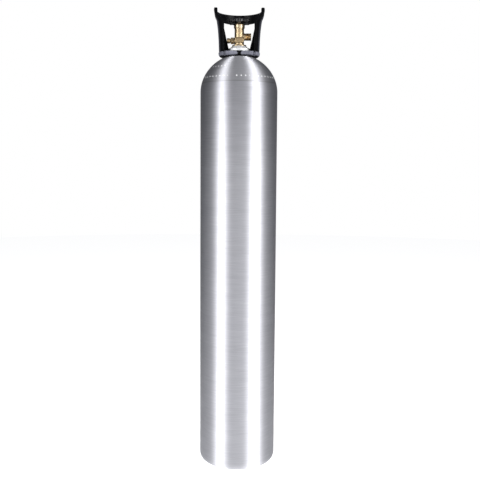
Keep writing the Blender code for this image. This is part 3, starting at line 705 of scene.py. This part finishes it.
mat_outside = handle_outside("handle_outside")
finish_piece(handle, "cylinder", "carry_handle", [mat_handle, mat_collar, mat_outside])
for poly in handle.data.polygons:
    c = poly.center / U
    r = math.hypot(c.x, c.y)
    outside = r > 52.0 or (c.y < -41.2 and abs(c.x) > 4.2) or (abs(c.x) > 16.0 and abs(c.y - CLAMP_Y) < 5.3)
    outward = Vector((c.x, c.y, 0)).normalized().dot(poly.normal)
    if c.z < COLLAR_TOP - 0.3 and c.z > 1088.9 and outside and poly.normal.z > -0.8:
        poly.material_index = 1
    elif c.z >= COLLAR_TOP - 0.3 and c.y < 25 and outward > 0.35:
        poly.material_index = 2
    elif c.z >= COLLAR_TOP - 0.3 and c.y >= 25 and outward > 0.35:
        poly.material_index = 2

# ------------------------------------------------------------------------------------------------
# clamp screw, washer and nut
# ------------------------------------------------------------------------------------------------
PITCH_S = 0.75


def helix(radius_out, depth, pitch, start, end, steps_per_pitch=8, taper=1.2, phase=0.0):
    """radius(r, z, angle) for a helical thread between two places along the axis."""

    def f(r, z, a):
        if z < start or z > end:
            return r
        t = ((z / pitch) - a / TAU + phase) % 1.0
        tri = abs(2.0 * t - 1.0)
        tri = min(1.0, max(0.0, (tri - 0.12) / 0.76))
        fade = min(1.0, (z - start) / taper, (end - z) / taper)
        return r - depth * tri * max(0.0, fade)

    return f


def fill(z0, z1, r, step):
    n = max(2, int(abs(z1 - z0) / step))
    return [(r, z0 + (z1 - z0) * i / n) for i in range(n + 1)]


screw_profile = rounded([(0, 21.6), (1.9, 21.6), (2.45, 21.0), (2.45, 20.5)], 0.2, 2) + fill(20.4, -13.0, 2.45, 0.10) + rounded(
    [(2.45, -13.2), (2.45, -16.6), (4.2, -16.6), (4.2, -20.7), (3.7, -21.2), (2.35, -21.2)], 0.3, 3) + [(2.3, -21.2), (2.3, -19.4), (0, -19.4)]
screw = lathe("clamp_screw_detail", screw_profile, 36, matrix=axis_x(CLAMP_Z, CLAMP_Y), radius=helix(2.45, 0.38, PITCH_S, -12.5, 21.0))
mat_steel = plated_steel("zinc_plated_steel", 0.60, 0.28)
mat_dark_steel = plated_steel("black_oxide_steel", 0.045, 0.45)
finish_piece(screw, "cylinder", "handle_clamp_screw", mat_dark_steel)
clamp_washer = lathe("clamp_washer_detail", rounded([(4.6, -15.3), (4.6, -16.3), (2.8, -16.3), (2.8, -15.3)], 0.15, 2, loop=True), 48,
                     loop=True, matrix=axis_x(CLAMP_Z, CLAMP_Y))
finish_piece(clamp_washer, "cylinder", "handle_clamp_washer", mat_dark_steel)


def hex_nut(name, across_flats, low, high, hole, matrix, turn=0.0, double=True):
    """Nut with chamfered corners: hexagon cut by two cones, then a bore with bevelled mouths."""
    nut = prism(name, hex_points(across_flats, turn), low, high, matrix=None)
    corner = across_flats / math.sqrt(3)
    mid = (low + high) / 2
    barrel = lathe("barrel", [(0, high), (across_flats / 2 * 0.97, high), (corner * 1.02, high - 0.55 * (corner - across_flats / 2 * 0.97)),
                              (corner * 1.02, low + (0.55 * (corner - across_flats / 2 * 0.97) if double else -0.5)),
                              (across_flats / 2 * (0.97 if double else 1.3), low - (0 if double else 0.5)), (0, low - (0 if double else 0.5))], 64)
    m = nut.modifiers.new("b", "BOOLEAN")
    m.operation, m.solver, m.object = "INTERSECT", "EXACT", barrel
    mesh = evaluated(nut)
    nut.modifiers.clear()
    nut.data = mesh
    bpy.data.objects.remove(barrel, do_unlink=True)
    if hole:
        bore = lathe("bore", [(0, high + 1), (hole + 0.45, high + 1), (hole + 0.45, high + 0.02), (hole, high - 0.45), (hole, low + 0.45),
                              (hole + 0.45, low - 0.02), (hole + 0.45, low - 1), (0, low - 1)], 40)
        boolean(nut, [bore], "DIFFERENCE")
    nut.data.transform(matrix)
    bevelled(nut, 0.12, 2, 30)
    return nut


clamp_nut = hex_nut("clamp_nut_detail", 7.95, 15.4, 19.4, 2.8, axis_x(CLAMP_Z, CLAMP_Y))
finish_piece(clamp_nut, "cylinder", "handle_clamp_nut", mat_dark_steel)

# ------------------------------------------------------------------------------------------------
# valve body: forged block with turned ends, threaded outlet, bores
# ------------------------------------------------------------------------------------------------
OUTLET_Z, SAFETY_Z = 1143.5, 1133.6
OUTLET_R = 10.48 * 0.001 / U
SHANK_R = 14.0 * 0.001 / U
core_profile = rounded(
    [(0, 1171.8), (10.2, 1171.8, 0), (10.9, 1171.1, 0), (10.9, 1163.1, 0), (11.9, 1163.1, 0), (12.35, 1162.6, 0.5), (12.35, 1141.2, 1.5),
     (11.0, 1140.4, 0), (11.0, 1128.9, 1), (12.1, 1127.7, 1), (12.75, 1126.7, 0.8), (12.75, 1123.6, 0.6), (11.7, 1122.6, 0.3), (11.7, 1122.0, 0),
     (17.9, 1122.0, 0), (18.5, 1121.4, 0.4), (18.5, 1119.7, 0.3), (18.1, 1119.3, 0), (SHANK_R - 0.2, 1119.3, 0), (SHANK_R - 0.2, 1116.4, 0),
     (SHANK_R, 1115.8, 0), (SHANK_R, 1092.4, 0), (SHANK_R - 1.4, 1091.0, 0), (0, 1091.0)], 0.4, 4)
body = lathe("valve_body_forging", core_profile, 96)
block = box_object("block", (-12.35, -12.35, 1127.1), (12.35, 12.35, 1142.4))
bevelled(block, 2.6, 5, 30)
boss = lathe("boss", rounded([(0, 13.8), (7.6, 13.8, 0), (8.4, 13.0, 0.4), (8.4, 3, 0), (0, 3)], 0.4, 3), 64, matrix=axis_x(SAFETY_Z, 0, -1))
neckring = lathe("outlet_root", rounded([(0, 17.5), (8.85, 17.5, 0), (8.85, 14.4, 0.6), (9.7, 13.4, 0.6), (9.7, 3, 0), (0, 3)], 0.4, 3), 64, matrix=axis_x(OUTLET_Z))
boolean(body, [block, boss, neckring], "UNION")
bore = lathe("bore", [(0, 1176), (6.95, 1176), (6.95, 1137.4), (4.9, 1137.4), (4.5, 1138.4), (3.5, 1138.4), (3.2, 1137.9), (3.2, 1086), (0, 1086)], 64)
port = lathe("port", [(0, 16), (5.2, 16), (5.2, 7.6), (1.6, 7.6), (1.6, 0.6), (0, 0.6)], 40, matrix=axis_x(SAFETY_Z, 0, -1))
way = lathe("way", [(0, 19), (4.3, 19), (4.3, 4), (0, 4)], 40, matrix=axis_x(OUTLET_Z))
boolean(body, [bore, port, way], "DIFFERENCE")
bevelled(body, 0.25, 2, 30, sharp=34)
mat_forged = forged_brass("forged_brass")
mat_turned = turned_brass("turned_brass")
mat_outlet = turned_brass("outlet_brass", (0.62, 0.46, 0.26), 0.30, "X", (0, 0, OUTLET_Z * U))
finish_piece(body, "cylinder", "valve_body", [mat_forged, mat_turned, mat_outlet])
for poly in body.data.polygons:
    c = poly.center / U
    if c.z > 1142.6 or c.z < 1126.9:
        poly.material_index = 1
    if c.x > 12.6 and c.z > 1130:
        poly.material_index = 2

THREAD_P = 25.4 / 14.0 * 0.001 / U
spigot_profile = [(4.3, 16.6)] + [(8.6, 16.6)] + fill(16.8, 30.0, OUTLET_R, 0.12) + [
    (OUTLET_R - 0.35, 30.4), (OUTLET_R - 0.95, 31.0), (5.3, 31.0), (4.3, 30.1)]
spigot = lathe("outlet_thread", spigot_profile, 96, loop=True, matrix=axis_x(OUTLET_Z), radius=helix(OUTLET_R, 1.02, THREAD_P, 16.7, 30.2), sharp=50)
finish_piece(spigot, "cylinder", "valve_body", mat_outlet)

# ------------------------------------------------------------------------------------------------
# bonnet nut
# ------------------------------------------------------------------------------------------------
bonnet_profile = rounded(
    [(8.6, 1177.9, 0.3), (11.6, 1177.4, 1.5), (13.4, 1175.9, 1.5), (14.2, 1173.4, 1.5), (14.2, 1165.9, 0.5), (12.5, 1165.3, 0.2), (12.5, 1163.4, 0.2),
     (11.25, 1163.4, 0), (11.25, 1173.2, 0), (6.65, 1173.2, 0), (6.65, 1165.4, 0), (4.4, 1165.4, 0), (4.4, 1177.9, 0.2)], 0.4, 4, loop=True)
bonnet = lathe("bonnet_detail", bonnet_profile, 96, loop=True)
mat_bonnet = turned_brass("bonnet_brass", (0.56, 0.455, 0.31), 0.32)
finish_piece(bonnet, "cylinder", "bonnet_nut", mat_bonnet)

# ------------------------------------------------------------------------------------------------
# safety plug
# ------------------------------------------------------------------------------------------------
safety = lathe("safety_plug_detail", rounded(
    [(0, 32.3), (6.1, 32.3, 0), (6.85, 31.5, 0.4), (6.85, 25.7, 0.4), (6.3, 25.0, 0.3), (5.4, 24.8, 0.3), (5.4, 23.4, 0.3), (6.6, 22.8, 0.3),
     (6.6, 14.6, 0), (4.9, 14.3, 0), (4.9, 9.7, 0), (0, 9.7)], 0.3, 3), 72, matrix=axis_x(SAFETY_Z, 0, -1))
hexcap = prism("hex", hex_points(19.2 * math.cos(math.pi / 6), math.radians(18)), 14.1, 22.1)
cone = lathe("cone", [(0, 22.1), (8.2, 22.1), (9.7, 21.2), (9.7, 14.9), (8.6, 14.1), (0, 14.1)], 72)
m = hexcap.modifiers.new("b", "BOOLEAN")
m.operation, m.solver, m.object = "INTERSECT", "EXACT", cone
mesh = evaluated(hexcap)
hexcap.modifiers.clear()
hexcap.data = mesh
bpy.data.objects.remove(cone, do_unlink=True)
hexcap.data.transform(axis_x(SAFETY_Z, 0, -1))
boolean(safety, [hexcap], "UNION")
vents = [lathe("vent", [(0, 29.6), (2.1, 29.6), (2.1, 8.0), (0, 8.0)], 32, matrix=axis_x(SAFETY_Z, 0, -1))]
for k in range(2):
    vents.append(lathe("cross", [(0, 9), (1.3, 9), (1.3, -9), (0, -9)], 24,
                       matrix=Matrix.Translation((-28.3 * U, 0, SAFETY_Z * U)) @ Matrix.Rotation(math.pi / 4 + k * math.pi / 2, 4, "X")))
boolean(safety, vents, "DIFFERENCE")
bevelled(safety, 0.18, 2, 30, sharp=34)
mat_safety = turned_brass("safety_brass", (0.66, 0.50, 0.29), 0.34, "X", (0, 0, SAFETY_Z * U))
finish_piece(safety, "cylinder", "safety_plug", mat_safety)

# ------------------------------------------------------------------------------------------------
# stem, handwheel and its fastening
# ------------------------------------------------------------------------------------------------
stem_profile = rounded([(0, 1193.2), (1.9, 1193.2, 0), (2.45, 1192.6, 0)], 0.2, 2) + fill(1192.5, 1185.4, 2.45, 0.10) + rounded(
    [(2.7, 1185.0, 0), (2.7, 1178.3, 0), (4.1, 1178.0, 0.1), (4.1, 1170.7, 0.1), (2.5, 1170.7, 0), (2.5, 1168.3, 0), (4.1, 1168.3, 0.1),
     (4.1, 1163.9, 0), (6.2, 1163.9, 0.1), (6.5, 1163.6, 0), (6.5, 1161.2, 0), (6.2, 1160.9, 0), (0, 1160.9)], 0.1, 2)
stem = lathe("stem_detail", stem_profile, 40, radius=helix(2.45, 0.36, 0.74, 1185.5, 1192.8))
boolean(stem, [box_object("sq", (-2.95, -2.95, 1178.0), (2.95, 2.95, 1185.2)), box_object("sq2", (-2.2, -2.2, 1147.2), (2.2, 2.2, 1161.8))], "UNION")
finish_piece(stem, "handwheel_and_stem", "valve_stem", mat_turned)

WHEEL_LOBES, WHEEL_SPOKES, WHEEL_R = 6, 6, 30.2


def wheel_radius(a, inset=0.0, depth=1.0):
    lobe = a + math.pi / 2
    return WHEEL_R - 3.3 - inset + (2.5 * math.cos(WHEEL_LOBES * lobe) + 0.8 * math.cos(3 * WHEEL_LOBES * lobe)) * depth


def wheel_drop(a, r):
    """The rim's lower edge hangs at the lobes and rises in the valleys between them."""
    t = min(1.0, max(0.0, (r - 17.0) / 5.0))
    return -2.0 * math.cos(WHEEL_LOBES * (a + math.pi / 2)) * t * t * (3.0 - 2.0 * t)


wheel_section = [(12.0, 1178.2, 0.3), (9.0, 1178.2, 0.6), (6.5, 1178.2, 0.8), (4.0, 1178.2, 1.0), (2.2, 1178.5, 1.0), (0.9, 1179.3, 1.0), (0.2, 1180.4, 1.0),
                 (0.0, 1181.8, 1.0), (0.0, 1185.0, 1.0), (0.3, 1186.7, 1.0), (1.1, 1187.8, 1.0), (2.4, 1188.45, 0.95), (4.5, 1188.6, 0.7), (9.0, 1188.6, 0.4),
                 (13.0, 1188.6, 0.2)]
rings = []
for inset, z, depth in wheel_section:
    ring = []
    for i in range(360):
        a = TAU * i / 360
        r = wheel_radius(a, inset, depth)
        ring.append((r * math.cos(a), r * math.sin(a), z + (wheel_drop(a, r) if z < 1181.0 else 0.0)))
    rings.append(ring)
wheel = grid_object("handwheel_moulding", rings, False, cap_start=True, cap_end=True)
cuts = [lathe("b", [(0, 1190), (7.3, 1190), (7.3, 1174), (0, 1174)], 48),
        lathe("cup", [(0, 1178.37), (19.0, 1178.37), (19.8, 1177.6), (20.0, 1174), (0, 1174)], 96),
        lathe("r", [(0, 1192), (11.8, 1192), (10.0, 1185.4), (0, 1185.4)], 64)]
for k in range(WHEEL_SPOKES):
    mid = TAU * (k + 0.5) / WHEEL_SPOKES
    half_in = math.pi / WHEEL_SPOKES - 2.5 / 11.8
    half_out = math.pi / WHEEL_SPOKES - 2.5 / 19.2
    pocket = [(11.8 * math.cos(mid + s * half_in), 11.8 * math.sin(mid + s * half_in)) for s in [-1 + 2 * i / 8 for i in range(9)]]
    pocket += [(19.2 * math.cos(mid + s * half_out), 19.2 * math.sin(mid + s * half_out)) for s in [1 - 2 * i / 14 for i in range(15)]]
    cuts.append(prism("p", pocket, 1173.0, 1186.0))
boolean(wheel, cuts, "DIFFERENCE")
soften(wheel, 0.3, 3, 0.5)
mat_wheel = black_plastic("handwheel_plastic", 0.2, (0.001, 0.001, 0.002), 1400.0, 0.40, 0.1)
finish_piece(wheel, "handwheel_and_stem", "handwheel", mat_wheel)

insert = lathe("wheel_insert_detail", rounded([(0, 1185.0), (6.6, 1185.0, 0.2), (7.0, 1184.6, 0), (7.0, 1178.9, 0), (6.6, 1178.5, 0.2), (0, 1178.5)], 0.2, 2), 64,
               radius=lambda r, z, a: r - (0.25 * (0.5 + 0.5 * math.cos(24 * a)) if 1178.8 < z < 1184.8 and r > 6.5 else 0.0))
boolean(insert, [box_object("sq", (-3.25, -3.25, 1170), (3.25, 3.25, 1190))], "DIFFERENCE")
finish_piece(insert, "handwheel_and_stem", "handwheel_insert", mat_turned)
wheel_washer = lathe("wheel_washer_detail", rounded([(8.4, 1186.4), (8.4, 1185.7), (2.8, 1185.7), (2.8, 1186.4)], 0.12, 2, loop=True), 64, loop=True)
finish_piece(wheel_washer, "handwheel_and_stem", "handwheel_washer", mat_steel)
spring_low, spring_high = 1187.2, 1188.9
coil = bpy.data.curves.new("wheel_spring_detail", "CURVE")
coil.dimensions = "3D"
coil.bevel_depth = 0.4 * U
coil.bevel_resolution = 4
coil.use_fill_caps = True
path = coil.splines.new("POLY")
turns, count = 2.25, 110
path.points.add(count - 1)
for i, p in enumerate(path.points):
    t = i / (count - 1)
    a = TAU * turns * t
    grow = 4.3 + 1.1 * (1.0 - t)
    p.co = (grow * math.cos(a) * U, grow * math.sin(a) * U, (spring_low + (spring_high - spring_low) * t) * U, 1.0)
spring_curve = new_object("wheel_spring_curve", coil)
spring_mesh = evaluated(spring_curve)
bm = bmesh.new()
bm.from_mesh(spring_mesh)
bmesh.ops.remove_doubles(bm, verts=bm.verts, dist=1e-7)
bmesh.ops.recalc_face_normals(bm, faces=bm.faces)
bm.to_mesh(spring_mesh)
bm.free()
bpy.data.objects.remove(spring_curve, do_unlink=True)
spring = new_object("wheel_spring_detail", spring_mesh)
shade(spring.data, 40)
finish_piece(spring, "handwheel_and_stem", "handwheel_spring", mat_steel)
wheel_nut = hex_nut("wheel_nut_detail", 7.95, 1189.7, 1192.5, 2.8, Matrix.Identity(4))
finish_piece(wheel_nut, "handwheel_and_stem", "handwheel_nut", mat_steel)


def ring_detail(name, body_name, node, centre_r, centre_z, section_r, mat, steps=72, sides=16):
    prof = [(centre_r + section_r * math.cos(TAU * i / sides), centre_z - section_r * math.sin(TAU * i / sides)) for i in range(sides)]
    ob = lathe(name, prof, steps, loop=True, sharp=0)
    finish_piece(ob, body_name, node, mat)
    return ob


mat_rubber = soft_solid("black_rubber", (0.02, 0.02, 0.02), 0.55)
ring_detail("neck_ring_detail", "cylinder", "neck_o_ring", 15.4, 1117.55, 1.4, mat_rubber)
ring_detail("stem_ring_detail", "handwheel_and_stem", "stem_o_ring", 3.45, 1169.5, 0.78, mat_rubber, 48, 12)

# inner pieces keep their CAD shape and get their own finish
for node, mat in (
    ("bonnet_gasket", soft_solid("gasket_fibre", (0.34, 0.07, 0.04), 0.7)),
    ("stem_thrust_washer", soft_solid("nylon_white", (0.78, 0.77, 0.72), 0.45)),
    ("valve_plug", mat_turned),
    ("seat_disc", soft_solid("nylon_cream", (0.80, 0.77, 0.66), 0.45)),
    ("burst_disc", turned_brass("disc_copper", (0.85, 0.46, 0.30), 0.25)),
    ("safety_gasket", turned_brass("gasket_copper", (0.80, 0.42, 0.27), 0.32)),
):
    paint(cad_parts[node], mat)

# ------------------------------------------------------------------------------------------------
# studio: pale floor, soft light, camera
# ------------------------------------------------------------------------------------------------
scene = bpy.context.scene
world = bpy.data.worlds.new("studio")
scene.world = world
world.use_nodes = True
wt = world.node_tree
wt.nodes.clear()
out = wt.nodes.new("ShaderNodeOutputWorld")
mixer = wt.nodes.new("ShaderNodeMixShader")
seen = wt.nodes.new("ShaderNodeBackground")
seen.inputs["Color"].default_value = (1, 1, 1, 1)
seen.inputs["Strength"].default_value = 1.0
fill_bg = wt.nodes.new("ShaderNodeBackground")
fill_bg.inputs["Color"].default_value = (0.93, 0.95, 1.0, 1)
fill_bg.inputs["Strength"].default_value = 0.16
path_node = wt.nodes.new("ShaderNodeLightPath")
wt.links.new(path_node.outputs["Is Camera Ray"], mixer.inputs[0])
wt.links.new(fill_bg.outputs[0], mixer.inputs[1])
wt.links.new(seen.outputs[0], mixer.inputs[2])
wt.links.new(mixer.outputs[0], out.inputs[0])

bm = bmesh.new()
bmesh.ops.create_circle(bm, cap_ends=True, radius=7.0, segments=96)
mesh = bpy.data.meshes.new("floor")
bm.to_mesh(mesh)
bm.free()
floor = new_object("floor", mesh)
floor.location = (0, 0, -0.0006)
fn = Nodes("pale_floor")
fn.set(Roughness=0.9)
fn.bsdf.inputs["Base Color"].default_value = (0.92, 0.92, 0.92, 1)
fn.bsdf.inputs["Emission Color"].default_value = (1, 1, 1, 1)
fn.bsdf.inputs["Emission Strength"].default_value = 0.82
grain = fn.noise(fn.coords(), 30.0, 2.0, 0.5)
fn.link(fn.map_range(grain, 0.3, 0.7, 0.85, 0.95), fn.bsdf.inputs["Roughness"])
paint(floor, fn.mat)
floor.visible_glossy = False
floor.visible_diffuse = False
floor.visible_shadow = False


def softbox(name, azimuth, distance, height, width, tall, power, tilt=0.0, spread=180.0):
    """Azimuth in degrees from the camera's side (-Y), positive to +X; the box faces the object."""
    a = math.radians(azimuth)
    data = bpy.data.lights.new(name, "AREA")
    data.shape = "RECTANGLE"
    data.size, data.size_y = width, tall
    data.energy = power
    data.spread = math.radians(spread)
    ob = bpy.data.objects.new(name, data)
    scene.collection.objects.link(ob)
    pos = Vector((distance * math.sin(a), -distance * math.cos(a), height))
    aim = Vector((0, 0, height + tilt)) - pos
    ob.location = pos
    ob.rotation_euler = aim.to_track_quat("-Z", "Y").to_euler()
    ob.visible_camera = False
    return ob


softbox("key_left", -51.0, 2.6, 0.75, 0.70, 3.6, 83.0)
softbox("key_right", 52.5, 2.6, 0.75, 1.18, 3.6, 119.0)
softbox("upper_left", -56.0, 2.2, 2.9, 0.40, 1.4, 3.0, tilt=-1.7)
softbox("upper_right", 56.0, 2.2, 2.9, 0.60, 1.4, 3.0, tilt=-1.7)
softbox("front_fill", 2.0, 2.6, 1.1, 1.5, 1.2, 11.0, tilt=-0.2)
softbox("overhead", 20.0, 0.35, 3.1, 1.1, 1.1, 2.0, tilt=-1.8)

# light coming back up from the pale floor
bounce = bpy.data.lights.new("floor_bounce", "AREA")
bounce.shape = "DISK"
bounce.size = 3.2
bounce.energy = 25.0
bounce_ob = bpy.data.objects.new("floor_bounce", bounce)
scene.collection.objects.link(bounce_ob)
bounce_ob.location = (0, 0, -0.004)
bounce_ob.rotation_euler = (math.pi, 0, 0)
bounce_ob.visible_camera = False

CAM_S = U / 0.001
cam_data = bpy.data.cameras.new("camera")
cam_data.sensor_width = 36.0
cam_data.lens = 57.555
cam_data.clip_start = 0.05
cam = bpy.data.objects.new("camera", cam_data)
scene.collection.objects.link(cam)
cam.matrix_world = (
    Matrix.Translation(Vector((0.0052, -2.0584, 0.8212)) * CAM_S)
    @ Matrix.Rotation(math.radians(90.0 - 5.913), 4, "X")
    @ Matrix.Rotation(0.0062, 4, "Z")
)
scene.camera = cam
scene.view_settings.view_transform = "Standard"
scene.view_settings.look = "None"
